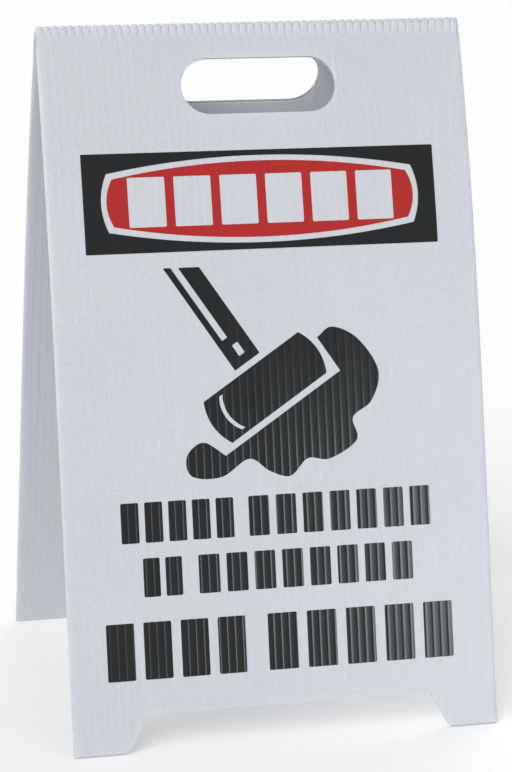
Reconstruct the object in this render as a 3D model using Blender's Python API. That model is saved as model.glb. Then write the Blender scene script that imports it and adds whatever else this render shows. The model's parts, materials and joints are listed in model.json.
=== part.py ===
"""Fold-up floor sign: one sheet of twin-wall plastic board, folded over a crushed crease.

Two leaves stand as a tent.  Each has a carrying slot near the top, a shallow notch that leaves
two feet at the bottom, and a printed message on its outer face.  The sheet stands slightly bowed,
because the crease pushes the leaves apart while the floor holds the feet.

Metres, +Z up.  The origin is on the floor, midway between the leaves.  The front leaf faces -Y.
"""

import math

import bmesh
import bpy
from mathutils import Matrix, Vector

# ---- the board
SIGN_WIDTH = 0.3048
LEAF_LENGTH = 0.5007            # along the outer face, from the crease to the foot
BOARD_THICKNESS = 0.0040
SKIN = 0.00035                  # each outer wall of the board
RIB = 0.00035                   # each web between two flutes
FLUTE_COUNT = 55

# ---- how the leaves stand
FOOT_LEAN = math.radians(13.8)  # from the vertical, over the straight lower part
CREASE_LEAN = math.radians(24.0)
BOW_LENGTH = 0.344              # the lean eases from the crease to here
BOW_STEPS = 6

# ---- the crease, where the board is crushed thin
CRUSHED_THICKNESS = 0.0011
CRUSHED_LENGTH = 0.006
CRUSH_TAPER_END = 0.024
CREASE_OUTER_RADIUS = 0.00125   # from the fold axis to the outer face
CREASE_INNER_RADIUS = 0.00030
CREST_ROUNDING = math.radians(6.0)  # how blunt the ridge's crest is; 0 is a sharp edge
CREASE_LEG = 0.0003             # straight stretch of the crease strip on each side
LEAF_START = 0.0006             # the leaf begins this far down from the fold axis
CREASE_STEPS = 12

# ---- cut-outs
SLOT_LENGTH = 0.1110
SLOT_HEIGHT = 0.0397
FRONT_SLOT = (0.0025, 0.0422)   # centre: across, and down from the crease
REAR_SLOT = (0.0016, 0.0400)
NOTCH_DEPTH = 0.0255
NOTCH_TOP_HALF = 0.1020
NOTCH_BOTTOM_HALF = 0.1155
FRONT_NOTCH_CENTRE = 0.0018     # across
REAR_NOTCH_CENTRE = -0.0045
FOOT_CORNER_RADIUS = 0.004

# ---- the print, in the leaf's own frame: across from the middle, and down from the crease
PRINT_CENTRE = -0.0012
INK_GAP = 0.00015
INK_THICKNESS = 0.00015
HEADER_WIDTH = 0.2520
HEADER_TOP = 0.0881
HEADER_BOTTOM = 0.1575
FIELD_CENTRE = 0.1224
FIELD_HALF_WIDTH = 0.1135       # of the bare ring's outer edge, at mid height
FIELD_HALF_HEIGHT = 0.0305      # the same, on the centre line
FIELD_SIDE_BULGE = 0.0045
FIELD_CROWN = 0.0102
RING_WIDTH = 0.0038
WINDOW_COUNT = 6
WINDOW_SIZE = (0.0262, 0.0347)
WINDOW_PITCH = 0.0326
ICON_CENTRE = (0.0, 0.2430)
ICON_TILT = math.radians(33.0)
ICON_HEAD_SIZE = (0.0920, 0.0350)
ICON_HEAD_CENTRE = (-0.0060, 0.0110)
ICON_END_BULGE = 0.0045
ICON_CAP = 0.0110               # the head's end cap, marked off by a curved slit
ICON_SLIT = 0.0028
ICON_SLIT_MARGIN = 0.0035
ICON_HANDLE_WIDTH = 0.0215      # over the bar, the gap and the rod
ICON_BAR_WIDTH = 0.0125
ICON_ROD_WIDTH = 0.0045
ICON_BRACKET_LENGTH = 0.0220
ICON_BRACKET_WINDOW = (0.0048, 0.0090)
ICON_HANDLE_TOP = -0.0745
ICON_GAP = 0.0045
# The puddle's outer shore, clockwise from the right end of the head to its left end.
PUDDLE_SHORE = (
    (0.0440, -0.0290), (0.0620, -0.0200), (0.0760, 0.0030), (0.0700, 0.0240),
    (0.0560, 0.0350), (0.0580, 0.0510), (0.0380, 0.0630), (0.0220, 0.0620),
    (0.0090, 0.0735), (-0.0060, 0.0690), (-0.0200, 0.0600), (-0.0400, 0.0715),
    (-0.0610, 0.0700), (-0.0640, 0.0560), (-0.0520, 0.0470),
)
# Each line of the message: its top and bottom edges, and the span of each word across the leaf.
MESSAGE_LINES = (
    (0.3289, 0.3567, ((-0.1124, -0.0328), (-0.0220, 0.1092))),
    (0.3674, 0.3942, ((-0.0983, -0.0710), (-0.0593, 0.0948))),
    (0.4115, 0.4511, ((-0.1263, -0.0282), (-0.0121, 0.1221))),
)

# ---- colours: linear RGB and roughness
BOARD_LOOK = ((0.68, 0.70, 0.74), 0.45)
BLACK_LOOK = ((0.024, 0.025, 0.025), 0.30)
RED_LOOK = ((0.56, 0.030, 0.024), 0.35)

FINE_STEPS = 400                # for adding up the bowed profile


def lean(down):
    """Angle of the leaf from the vertical, at a distance down from the crease."""
    ease = max(0.0, 1.0 - down / BOW_LENGTH)
    return FOOT_LEAN + (CREASE_LEAN - FOOT_LEAN) * ease * ease


def outward(down):
    """Unit normal of the front leaf's outer face, in the Y-Z plane."""
    return Vector((-math.cos(lean(down)), math.sin(lean(down))))


def profile_point(down):
    """Point of the front leaf's outer face in the Y-Z plane, measured from the fold axis."""
    point = outward(0.0) * CREASE_OUTER_RADIUS
    step = down / FINE_STEPS
    for index in range(FINE_STEPS):
        angle = lean((index + 0.5) * step)
        point -= Vector((math.sin(angle), math.cos(angle))) * step
    return point


def stations():
    """Distances down the leaf at which its facets meet."""
    places = [LEAF_START, CRUSHED_LENGTH]
    span = BOW_LENGTH - CRUSH_TAPER_END
    places += [CRUSH_TAPER_END + span * index / BOW_STEPS for index in range(BOW_STEPS + 1)]
    return places + [LEAF_LENGTH]


STATIONS = stations()
STATION_POINTS = [profile_point(down) for down in STATIONS]
STATION_NORMALS = [outward(down) for down in STATIONS]
INNER_FOOT = STATION_POINTS[-1] - STATION_NORMALS[-1] * BOARD_THICKNESS
FOLD_AXIS_HEIGHT = -INNER_FOOT.y


def crushed_depth(down, depth):
    """Depth under the outer face after crushing: the skins keep their thickness, the ribs don't."""
    taper = (down - CRUSHED_LENGTH) / (CRUSH_TAPER_END - CRUSHED_LENGTH)
    taper = min(1.0, max(0.0, taper))
    thickness = CRUSHED_THICKNESS + (BOARD_THICKNESS - CRUSHED_THICKNESS) * taper
    rib_height = BOARD_THICKNESS - 2.0 * SKIN
    squeezed = (thickness - 2.0 * SKIN) / rib_height
    in_ribs = min(rib_height, max(0.0, depth - SKIN))
    return depth - in_ribs * (1.0 - squeezed)


def place_on_leaf(flat):
    """Map a point of the flat board to the standing front leaf."""
    down = min(LEAF_LENGTH, max(STATIONS[0], -flat.y))
    index = 0
    while index < len(STATIONS) - 2 and down > STATIONS[index + 1]:
        index += 1
    share = (down - STATIONS[index]) / (STATIONS[index + 1] - STATIONS[index])
    height = flat.z if flat.z > 0.0 else -crushed_depth(down, -flat.z)
    low = STATION_POINTS[index] + STATION_NORMALS[index] * height
    high = STATION_POINTS[index + 1] + STATION_NORMALS[index + 1] * height
    point = low.lerp(high, share)
    return Vector((flat.x, point.x, FOLD_AXIS_HEIGHT + point.y))


# ---- outlines: closed lists of points, x across the leaf and y up it (so y = -down)

def arc(start, end, bulge, steps):
    """Points of a circular arc that rises by bulge to the left of start-end, end left out."""
    start, end = Vector(start), Vector(end)
    chord = end - start
    if abs(bulge) < 1e-9:
        return [start]
    left = Vector((-chord.y, chord.x)).normalized()
    radius = (chord.length_squared / 4.0 + bulge * bulge) / (2.0 * bulge)
    centre = (start + end) / 2.0 + left * (bulge - radius)
    turn = 2.0 * math.asin(min(1.0, chord.length / 2.0 / abs(radius)))
    turn = -math.copysign(turn, bulge)
    ray = start - centre
    return [centre + Matrix.Rotation(turn * index / steps, 2) @ ray for index in range(steps)]


def rectangle(left, right, top, bottom):
    """Outline of an upright rectangle; top and bottom are distances down the leaf."""
    return [Vector((left, -bottom)), Vector((right, -bottom)),
            Vector((right, -top)), Vector((left, -top))]


def stadium(centre, length, height, steps):
    """Slot with half-round ends."""
    half = (length - height) / 2.0
    radius = height / 2.0
    points = []
    for side in (1.0, -1.0):
        for index in range(steps + 1):
            angle = side * math.pi / 2.0 * (2.0 * index / steps - 1.0)
            if side < 0.0:
                angle = math.pi / 2.0 + math.pi * index / steps
            end = Vector((centre[0] + side * half, -centre[1]))
            points.append(end + Vector((math.cos(angle), math.sin(angle))) * radius)
    return points


def barrel(inset):
    """Outline of the header's field: a rectangle whose four sides swell outwards."""
    half_height = FIELD_HALF_HEIGHT - FIELD_CROWN - inset
    half_width = FIELD_HALF_WIDTH - FIELD_SIDE_BULGE - inset
    left, right = PRINT_CENTRE - half_width, PRINT_CENTRE + half_width
    low, high = -FIELD_CENTRE - half_height, -FIELD_CENTRE + half_height
    corners = [(left, low), (right, low), (right, high), (left, high)]
    bulges = [FIELD_CROWN, FIELD_SIDE_BULGE] * 2
    points = []
    for index, bulge in enumerate(bulges):
        steps = 12 if bulge == FIELD_CROWN else 4
        points += arc(corners[index], corners[(index + 1) % 4], -bulge, steps)
    return points


def windows():
    """The plain blocks left bare in the field."""
    width, height = WINDOW_SIZE
    first = PRINT_CENTRE - WINDOW_PITCH * (WINDOW_COUNT - 1) / 2.0
    middles = [first + WINDOW_PITCH * index for index in range(WINDOW_COUNT)]
    top, bottom = FIELD_CENTRE - height / 2.0, FIELD_CENTRE + height / 2.0
    return [rectangle(middle - width / 2.0, middle + width / 2.0, top, bottom) for middle in middles]


def icon_point(along, across):
    """Point given in the tilted frame of the pictogram's head, with y up the leaf."""
    turned = Matrix.Rotation(ICON_TILT, 2) @ Vector((along, across))
    x = ICON_CENTRE[0] + ICON_HEAD_CENTRE[0] + turned.x
    y = -ICON_CENTRE[1] - ICON_HEAD_CENTRE[1] + turned.y
    return Vector((x, y))


def icon_head():
    """The head of the tool: a tilted bar with bowed ends, and a slit that marks off its cap."""
    length, depth = ICON_HEAD_SIZE[0] / 2.0 - ICON_END_BULGE, ICON_HEAD_SIZE[1] / 2.0
    right_low, right_high = icon_point(length, -depth), icon_point(length, depth)
    left_low, left_high = icon_point(-length, -depth), icon_point(-length, depth)
    edge = arc(right_low, right_high, -ICON_END_BULGE, 6) + [right_high]
    edge += arc(left_high, left_low, -ICON_END_BULGE, 6) + [left_low]
    near, far = ICON_CAP - length, ICON_CAP - length + ICON_SLIT
    reach = depth - ICON_SLIT_MARGIN
    slit = arc(icon_point(far, -reach), icon_point(far, reach), ICON_END_BULGE, 6)
    slit += [icon_point(far, reach)]
    slit += arc(icon_point(near, reach), icon_point(near, -reach), -ICON_END_BULGE, 6)
    slit += [icon_point(near, -reach)]
    return [edge, slit]


def icon_line_end(along, foot):
    """Where a line square to the head meets the level top of the handle."""
    start, ahead = icon_point(along, foot), icon_point(along, foot + 0.01)
    top = -ICON_CENTRE[1] - ICON_HANDLE_TOP
    return start + (ahead - start) * ((top - start.y) / (ahead.y - start.y))


def icon_handle():
    """The handle: a bar and a thin rod, cut level at the top and joined by a bracket."""
    foot = ICON_HEAD_SIZE[1] / 2.0 + ICON_GAP
    shoulder = foot + ICON_BRACKET_LENGTH
    side = ICON_HANDLE_WIDTH / 2.0
    bar, rod = side - ICON_BAR_WIDTH, ICON_ROD_WIDTH - side
    edge = [icon_point(-side, foot), icon_point(side, foot), icon_line_end(side, foot),
            icon_line_end(bar, foot), icon_point(bar, shoulder), icon_point(rod, shoulder),
            icon_line_end(rod, foot), icon_line_end(-side, foot)]
    half, depth = ICON_BRACKET_WINDOW[0] / 2.0, ICON_BRACKET_WINDOW[1] / 2.0
    middle = foot + ICON_BRACKET_LENGTH / 2.0
    window = [icon_point(-half, middle - depth), icon_point(half, middle - depth),
              icon_point(half, middle + depth), icon_point(-half, middle + depth)]
    return [edge, window]


def smooth_through(points, steps):
    """Points of a Catmull-Rom curve through the given ones, its ends included."""
    ends = [points[0] * 2.0 - points[1]] + points + [points[-1] * 2.0 - points[-2]]
    curve = []
    for a, b, c, d in zip(ends, ends[1:], ends[2:], ends[3:]):
        for index in range(steps):
            t = index / steps
            curve.append(0.5 * (b * 2.0 + (c - a) * t + (a * 2.0 - b * 5.0 + c * 4.0 - d) * t * t
                                + (b * 3.0 - a - c * 3.0 + d) * t * t * t))
    return curve + [points[-1]]


def icon_puddle():
    """The puddle: a smooth shore on the far side, and a straight edge along the head."""
    length = ICON_HEAD_SIZE[0] / 2.0 + ICON_GAP
    depth = ICON_HEAD_SIZE[1] / 2.0 + ICON_GAP
    shore = [Vector((ICON_CENTRE[0] + x, -ICON_CENTRE[1] - y)) for x, y in PUDDLE_SHORE]
    near_end = icon_point(length, depth * 0.3)
    head_right = icon_point(length, -depth)
    head_left = icon_point(-length, -depth)
    outline = smooth_through([near_end] + shore + [head_left], 4) + [head_right]
    return outline[::-1]


def board_outline(notch_centre):
    """The leaf's edge, with the notch between its feet."""
    half = SIGN_WIDTH / 2.0
    low = -LEAF_LENGTH
    high = low + NOTCH_DEPTH
    rise = Vector((NOTCH_TOP_HALF - NOTCH_BOTTOM_HALF, NOTCH_DEPTH)).normalized()
    points = [Vector((half, low)), Vector((half, -LEAF_START)),
              Vector((-half, -LEAF_START)), Vector((-half, low))]
    turn = math.atan2(rise.y, -rise.x)
    reach = FOOT_CORNER_RADIUS * math.tan(turn / 2.0)
    level = Vector((NOTCH_BOTTOM_HALF + reach, low))
    raised = Vector((NOTCH_BOTTOM_HALF, low)) + rise * reach
    bulge = FOOT_CORNER_RADIUS * (1.0 - math.cos(turn / 2.0))
    corner = arc(level, raised, bulge, 4) + [raised]
    right = corner + [Vector((NOTCH_TOP_HALF, high))]
    left = [Vector((-point.x, point.y)) for point in right]
    shift = Vector((notch_centre, 0.0))
    return points + [point + shift for point in left + right[::-1]]


# ---- building

def new_object(name, mesh, look, parts):
    """Add a mesh object with its own material to the parts collection."""
    material = bpy.data.materials.new(name)
    material.use_nodes = True
    shader = material.node_tree.nodes["Principled BSDF"]
    shader.inputs["Base Color"].default_value = (*look[0], 1.0)
    shader.inputs["Roughness"].default_value = look[1]
    shader.inputs["Metallic"].default_value = 0.0
    mesh.materials.clear()
    mesh.materials.append(material)
    thing = bpy.data.objects.new(name, mesh)
    parts.objects.link(thing)
    return thing


def evaluated_mesh(thing):
    """The object's mesh with its modifiers applied."""
    bpy.context.view_layer.update()
    graph = bpy.context.evaluated_depsgraph_get()
    return bpy.data.meshes.new_from_object(thing.evaluated_get(graph), depsgraph=graph)


def flat_plate(loops, low, high, collection):
    """Closed plate from outlines: the first is the edge and the others are holes."""
    curve = bpy.data.curves.new("outline", "CURVE")
    curve.dimensions = "2D"
    curve.fill_mode = "BOTH"
    curve.extrude = (high - low) / 2.0
    for loop in loops:
        spline = curve.splines.new("POLY")
        spline.points.add(len(loop) - 1)
        spline.use_cyclic_u = True
        for point, place in zip(spline.points, loop):
            point.co = (place.x, place.y, 0.0, 1.0)
    guide = bpy.data.objects.new("outline", curve)
    collection.objects.link(guide)
    mesh = evaluated_mesh(guide)
    bpy.data.objects.remove(guide)
    shape = bmesh.new()
    shape.from_mesh(mesh)
    bmesh.ops.remove_doubles(shape, verts=shape.verts, dist=1e-6)
    bmesh.ops.translate(shape, verts=shape.verts, vec=(0.0, 0.0, (low + high) / 2.0))
    bmesh.ops.recalc_face_normals(shape, faces=shape.faces)
    shape.to_mesh(mesh)
    shape.free()
    return mesh


def flute_cutter(cutters):
    """One box for each flute, longer than the leaf, so that the flutes are open at both ends."""
    pitch = (SIGN_WIDTH - RIB) / FLUTE_COUNT
    height = BOARD_THICKNESS - 2.0 * SKIN
    length = LEAF_LENGTH * 1.1
    shape = bmesh.new()
    for index in range(FLUTE_COUNT):
        middle = -SIGN_WIDTH / 2.0 + RIB / 2.0 + pitch * (index + 0.5)
        size = Matrix.Diagonal((pitch - RIB, length, height, 1.0))
        place = Matrix.Translation((middle, -LEAF_LENGTH / 2.0, -BOARD_THICKNESS / 2.0))
        bmesh.ops.create_cube(shape, size=1.0, matrix=place @ size)
    mesh = bpy.data.meshes.new("flutes")
    shape.to_mesh(mesh)
    shape.free()
    cutter = bpy.data.objects.new("flutes", mesh)
    cutter.hide_render = True
    cutter.display_type = "WIRE"
    cutters.objects.link(cutter)
    return cutter


def fluted_board(slot, notch_centre, cutters):
    """Flat twin-wall board with its slot, notch and flutes."""
    loops = [board_outline(notch_centre), stadium(slot, SLOT_LENGTH, SLOT_HEIGHT, 8)]
    board = bpy.data.objects.new("board", flat_plate(loops, -BOARD_THICKNESS, 0.0, cutters))
    cutters.objects.link(board)
    cut = board.modifiers.new("flutes", "BOOLEAN")
    cut.operation = "DIFFERENCE"
    cut.solver = "EXACT"
    cut.object = flute_cutter(cutters)
    mesh = evaluated_mesh(board)
    bpy.data.objects.remove(cut.object)
    bpy.data.objects.remove(board)
    return mesh


def stand_up(mesh, rear):
    """Facet a flat mesh at the stations, bend it onto the leaf, and turn it round for the rear."""
    shape = bmesh.new()
    shape.from_mesh(mesh)
    for down in STATIONS[1:-1]:
        everything = shape.verts[:] + shape.edges[:] + shape.faces[:]
        bmesh.ops.bisect_plane(shape, geom=everything, dist=1e-7,
                               plane_co=(0.0, -down, 0.0), plane_no=(0.0, 1.0, 0.0))
    for vertex in shape.verts:
        vertex.co = place_on_leaf(vertex.co)
    if rear:
        bmesh.ops.rotate(shape, verts=shape.verts, matrix=Matrix.Rotation(math.pi, 3, "Z"))
    bmesh.ops.triangulate(shape, faces=shape.faces)
    shape.to_mesh(mesh)
    shape.free()
    return mesh


def crest_radius(turn):
    """Distance of the crease's outer face from the fold axis: a tent with a blunt crest."""
    side = math.pi / 2.0 - CREASE_LEAN
    blunt = math.hypot(turn, CREST_ROUNDING) * side / math.hypot(side, CREST_ROUNDING)
    return CREASE_OUTER_RADIUS / math.cos(side - blunt)


def crease_strip(parts):
    """Living hinge: the crushed web that wraps over the fold axis and joins the two leaves."""
    side = math.pi / 2.0 - CREASE_LEAN
    outline = []
    for radius, sweep in ((crest_radius, 1.0), (lambda turn: CREASE_INNER_RADIUS, -1.0)):
        turns = [sweep * side * (1.0 - 2.0 * index / CREASE_STEPS) for index in range(CREASE_STEPS + 1)]
        points = [Vector((math.sin(turn), math.cos(turn))) * radius(turn) for turn in turns]
        leg = Vector((math.cos(side), -math.sin(side))) * CREASE_LEG
        first, last = points[0], points[-1]
        right, left = leg, Vector((-leg.x, leg.y))
        outline += [first + (right if first.x > 0.0 else left)] + points
        outline += [last + (right if last.x > 0.0 else left)]
    mesh = flat_plate([outline], -SIGN_WIDTH / 2.0, SIGN_WIDTH / 2.0, parts)
    to_world = Matrix(((0.0, 0.0, 1.0), (1.0, 0.0, 0.0), (0.0, 1.0, 0.0)))
    mesh.transform(Matrix.Translation((0.0, 0.0, FOLD_AXIS_HEIGHT)) @ to_world.to_4x4())
    return new_object("crease_hinge", mesh, BOARD_LOOK, parts)


def ink(name, loops, look, rear, parts):
    """One printed area: a thin film over the board's outer face."""
    mesh = flat_plate(loops, INK_GAP, INK_GAP + INK_THICKNESS, parts)
    return new_object(name, stand_up(mesh, rear), look, parts)


def leaf(side, slot, notch_centre, parts, cutters):
    """A leaf and everything printed on it."""
    rear = side == "rear"
    board_mesh = stand_up(fluted_board(slot, notch_centre, cutters), rear)
    board = new_object(side + "_leaf", board_mesh, BOARD_LOOK, parts)
    half = HEADER_WIDTH / 2.0
    block = rectangle(PRINT_CENTRE - half, PRINT_CENTRE + half, HEADER_TOP, HEADER_BOTTOM)
    pieces = [board]
    pieces.append(ink(side + "_header_block", [block, barrel(0.0)], BLACK_LOOK, rear, parts))
    field = [barrel(RING_WIDTH)] + windows()
    pieces.append(ink(side + "_header_field", field, RED_LOOK, rear, parts))
    pieces.append(ink(side + "_icon_handle", icon_handle(), BLACK_LOOK, rear, parts))
    pieces.append(ink(side + "_icon_head", icon_head(), BLACK_LOOK, rear, parts))
    pieces.append(ink(side + "_icon_puddle", [icon_puddle()], BLACK_LOOK, rear, parts))
    for line, (top, bottom, words) in enumerate(MESSAGE_LINES, start=1):
        for word, (left, right) in enumerate(words, start=1):
            name = f"{side}_line{line}_word{word}"
            bar = rectangle(left, right, top, bottom)
            pieces.append(ink(name, [bar], BLACK_LOOK, rear, parts))
    return pieces


def hang_on_axis(name, pieces, parts):
    """Parent a leaf's pieces to an empty on the fold axis, without moving them."""
    axis = bpy.data.objects.new(name, None)
    axis.location = (0.0, 0.0, FOLD_AXIS_HEIGHT)
    parts.objects.link(axis)
    for piece in pieces:
        piece.parent = axis
        piece.matrix_parent_inverse = Matrix.Translation((0.0, 0.0, -FOLD_AXIS_HEIGHT))


def main():
    for old in list(bpy.data.objects):
        bpy.data.objects.remove(old)
    parts = bpy.data.collections.new("floor_sign")
    cutters = bpy.data.collections.new("cutters")
    for collection in (parts, cutters):
        bpy.context.scene.collection.children.link(collection)
    front = leaf("front", FRONT_SLOT, FRONT_NOTCH_CENTRE, parts, cutters)
    rear = leaf("rear", REAR_SLOT, REAR_NOTCH_CENTRE, parts, cutters)
    hang_on_axis("front_axis", front + [crease_strip(parts)], parts)
    hang_on_axis("rear_axis", rear, parts)


main()
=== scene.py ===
"""Looks for the fold-up floor sign: twin-wall board, crushed crease, glossy print, studio."""

import json
import math

import bmesh
import bpy
import numpy as np
from mathutils import Matrix, Vector


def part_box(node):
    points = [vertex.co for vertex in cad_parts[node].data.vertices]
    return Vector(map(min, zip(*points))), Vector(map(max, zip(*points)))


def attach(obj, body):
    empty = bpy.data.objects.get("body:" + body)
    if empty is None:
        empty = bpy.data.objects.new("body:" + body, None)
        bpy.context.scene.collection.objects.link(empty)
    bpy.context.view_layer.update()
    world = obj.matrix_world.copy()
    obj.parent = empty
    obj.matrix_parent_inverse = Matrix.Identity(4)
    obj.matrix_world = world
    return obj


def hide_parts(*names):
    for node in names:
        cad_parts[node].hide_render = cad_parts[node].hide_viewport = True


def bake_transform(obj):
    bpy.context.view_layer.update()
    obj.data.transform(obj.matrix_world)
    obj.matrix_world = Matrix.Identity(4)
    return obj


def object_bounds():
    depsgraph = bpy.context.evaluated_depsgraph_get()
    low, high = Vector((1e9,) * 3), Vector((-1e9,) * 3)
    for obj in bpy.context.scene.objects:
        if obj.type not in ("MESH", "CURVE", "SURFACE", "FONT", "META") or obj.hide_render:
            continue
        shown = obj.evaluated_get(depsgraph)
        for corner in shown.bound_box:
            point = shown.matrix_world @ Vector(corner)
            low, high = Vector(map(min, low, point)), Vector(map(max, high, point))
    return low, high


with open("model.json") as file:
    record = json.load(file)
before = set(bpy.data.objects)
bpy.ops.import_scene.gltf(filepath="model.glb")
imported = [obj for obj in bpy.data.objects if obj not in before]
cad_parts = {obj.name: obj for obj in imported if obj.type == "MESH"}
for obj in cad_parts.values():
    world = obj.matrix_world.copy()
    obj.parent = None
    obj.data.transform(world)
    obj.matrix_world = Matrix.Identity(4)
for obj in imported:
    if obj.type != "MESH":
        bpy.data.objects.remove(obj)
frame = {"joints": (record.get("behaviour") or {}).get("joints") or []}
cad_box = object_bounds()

# ---- the board, as the CAD part has it (metres)
FLUTE_COUNT = 55
BOARD_THICKNESS = 0.0040
SKIN = 0.00035
RIB = 0.00035
LEAF_LENGTH = 0.5007
LEAF_START = 0.0006
FOOT_LEAN = math.radians(13.8)
CREASE_LEAN = math.radians(24.0)
BOW_LENGTH = 0.344
CREASE_OUTER_RADIUS = 0.00125
CREASE_INNER_RADIUS = 0.0003
CREST_ROUNDING = math.radians(6.0)
CRUSHED_THICKNESS = 0.0011
CRUSHED_LENGTH = 0.006
CRUSH_TAPER_END = 0.024
FLUTE_CORNER_RADIUS = 0.0006

# ---- cut-outs
SLOT_LENGTH = 0.1110
SLOT_HEIGHT = 0.0397
SLOT_CENTRES = {"front": (0.0025, 0.0422), "rear": (0.0016, 0.0400)}   # across, and down the leaf
NOTCH_CENTRES = {"front": 0.0018, "rear": -0.0045}
NOTCH_DEPTH = 0.0255
NOTCH_TOP_HALF = 0.1020
NOTCH_BOTTOM_HALF = 0.1155
NOTCH_CORNER_RADIUS = 0.0015
FOOT_CORNER_RADIUS = 0.004
CUTTER_MARGIN = 0.01            # how far a cutter runs on past the board

# ---- the board's fine surface
RIB_RIDGE = 0.00008             # how far each rib stands out through the skin
RIB_RIDGE_WIDTH = 0.00060
SKIN_SAG = 0.00002              # how far the skin sags between two ribs
COLUMN_OFFSETS = (0.0, 0.0003, 0.0006, 0.0010, 0.0016)
COLUMN_MARGIN = 0.00005         # how near to an outline's sides a column may come
EDGE_CRUSH = 0.00035            # the die presses the skins together along each cut
EDGE_CRUSH_REACH = 0.0014
SIDE_CRUSH = 0.0008             # and they are pressed further along the leaf's two sides
SIDE_CRUSH_REACH = 0.0028
CRUSHED_END_ROWS = (0.0010, 0.0016, 0.0024, 0.0034, 0.0048, 0.0064)
TAPER_ROW_START = 0.008         # rows are dense by the crease and sparse on the flat stretch
TAPER_ROW_STEP = 0.002
BOW_ROW_STEP = 0.010
FLAT_ROW_STEP = 0.030
EDGE_ROW_OFFSETS = (0.0003, 0.0007, 0.0012, 0.0018)
EDGE_SLACK = 0.0001             # a cut edge counts from this far outside it

# ---- the crease's fine surface
PUFF = 0.00050                  # the skin puffs up between two crushed ribs
PUFF_WIDTH = 0.0011
PINCH = 0.00090                 # and is pinched in at each rib, deepest at the +X end
PINCH_LEAST = 0.5               # share of that depth at the -X end
PINCH_WIDTH = 0.00045
CREST_LIFT = 0.0012             # the crest stands higher towards the +X end
CREASE_REACH = 0.0110           # how far the crushed skin reaches down each leaf
CREASE_ROWS = 14
CREASE_SINK = 0.00012           # its ends sink into the skin of the board
CREASE_THINNING = 0.75          # share of the web's thickness lost at its ends
CREASE_INSET = 0.0007           # its ends stop short of the board's sides
CREASE_WEB = 0.0010             # thickness of the crushed web beside the ridge
CREASE_SIDE_GAP = 0.0001        # the whole crease stops this far inside the board's sides
RIDGE_ROWS = 22

# ---- the print
INK_PROUD = 0.00004             # the film's top stands out of the skin
INK_BURIED = 0.00003            # and its underside is sunk into it
INK_MERGE = 0.000002            # slivers left by slicing the film are merged away
# How many letter blocks stand for each word.
LINE_LETTERS = {"line1_word1": 5, "line1_word2": 7, "line2_word1": 2,
                "line2_word2": 8, "line3_word1": 4, "line3_word2": 5}
LETTER_GAP = 0.34               # gap between two letter blocks, as a share of a block
LETTER_CORNER = 0.0012
BLOCK_CORNER = 0.0008
INK_ROW_STEP = 0.012            # spacing of the cuts that let the film follow the bow
FIELD_SIDE_BULGE = 0.0045
FIELD_CROWN = 0.0102
RING_WIDTH = 0.0038
WINDOW_COUNT = 6
WINDOW_SIZE = (0.0262, 0.0347)
WINDOW_PITCH = 0.0326
ICON_CENTRE = (0.0, 0.2430)
ICON_TILT = math.radians(33.0)
ICON_HEAD_SIZE = (0.0920, 0.0350)
ICON_HEAD_CENTRE = (-0.0060, 0.0110)
ICON_END_BULGE = 0.0045
ICON_CAP = 0.0110
ICON_SLIT = 0.0028
ICON_SLIT_MARGIN = 0.0035
ICON_HANDLE_WIDTH = 0.0215
ICON_BAR_WIDTH = 0.0125
ICON_ROD_WIDTH = 0.0045
ICON_BRACKET_LENGTH = 0.0220
ICON_BRACKET_WINDOW = (0.0048, 0.0090)
ICON_HANDLE_TOP = -0.0745
ICON_GAP = 0.0045
ICON_RAY = 0.01                 # any length will do: it only gives a line its direction
ICON_HANDLE_CORNER = 0.0005
ICON_WINDOW_CORNER = 0.0008
PUDDLE_START = 0.3              # where the shore leaves the head's end, as a share of its half depth
# The far shore of the puddle, across and down from the pictogram's centre.
PUDDLE_SHORE = (
    (0.0440, -0.0290), (0.0620, -0.0200), (0.0760, 0.0030), (0.0700, 0.0240),
    (0.0560, 0.0350), (0.0580, 0.0510), (0.0380, 0.0630), (0.0220, 0.0620),
    (0.0090, 0.0735), (-0.0060, 0.0690), (-0.0200, 0.0600), (-0.0400, 0.0715),
    (-0.0610, 0.0700), (-0.0640, 0.0560), (-0.0520, 0.0470),
)

# ---- how finely curves are drawn, and how closely points are merged
CORNER_STEPS = 4
FLUTE_CORNER_STEPS = 2
FOOT_STEPS = 6
SLOT_END_STEPS = 32
FIELD_CROWN_STEPS = 40
FIELD_SIDE_STEPS = 10
ICON_END_STEPS = 16
ICON_SLIT_STEPS = 14
SHORE_STEPS = 10
PROFILE_STEPS = 4000            # steps in which the bowed leaf's profile is summed up
SHARP_ANGLE = math.radians(32.0)
MERGE_DISTANCE = 1e-6
CUT_TOLERANCE = 1e-7
FAR = 1.0                       # stands for a distance from an edge that isn't there

# ---- colours, linear RGB, and finishes
BOARD_DARK = (0.440, 0.460, 0.498)
BOARD_LIGHT = (0.632, 0.652, 0.690)
# painted shade: the colour over each rib, standing in for the rib seen darker through the translucent
# skin
PAINTED_RIB_SHADE = (0.540, 0.560, 0.600)
BOARD_ROUGHNESS = 0.36          # at its glossiest
BOARD_ROUGHNESS_SPREAD = 0.14
BOARD_SUBSURFACE = 0.4
BOARD_SUBSURFACE_SCALE = 0.0015
BOARD_BUMP = 0.07
BOARD_BUMP_DISTANCE = 0.0002
RIB_SHADE_WIDTH = 0.16          # as a share of the flute pitch
RIB_SHADE_SOFTNESS = 0.3
RIB_SHADE_WEIGHT = 0.07
BLACK_DARK = (0.003, 0.0045, 0.0050)
BLACK_LIGHT = (0.006, 0.0080, 0.0085)
BLACK_ROUGHNESS = 0.19          # on average, as is the red's
RED_DARK = (0.345, 0.007, 0.007)
RED_LIGHT = (0.395, 0.011, 0.010)
RED_ROUGHNESS = 0.28
INK_ROUGHNESS_SPREAD = 0.12
INK_BUMP = 0.08
INK_BUMP_DISTANCE = 0.0001

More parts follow.
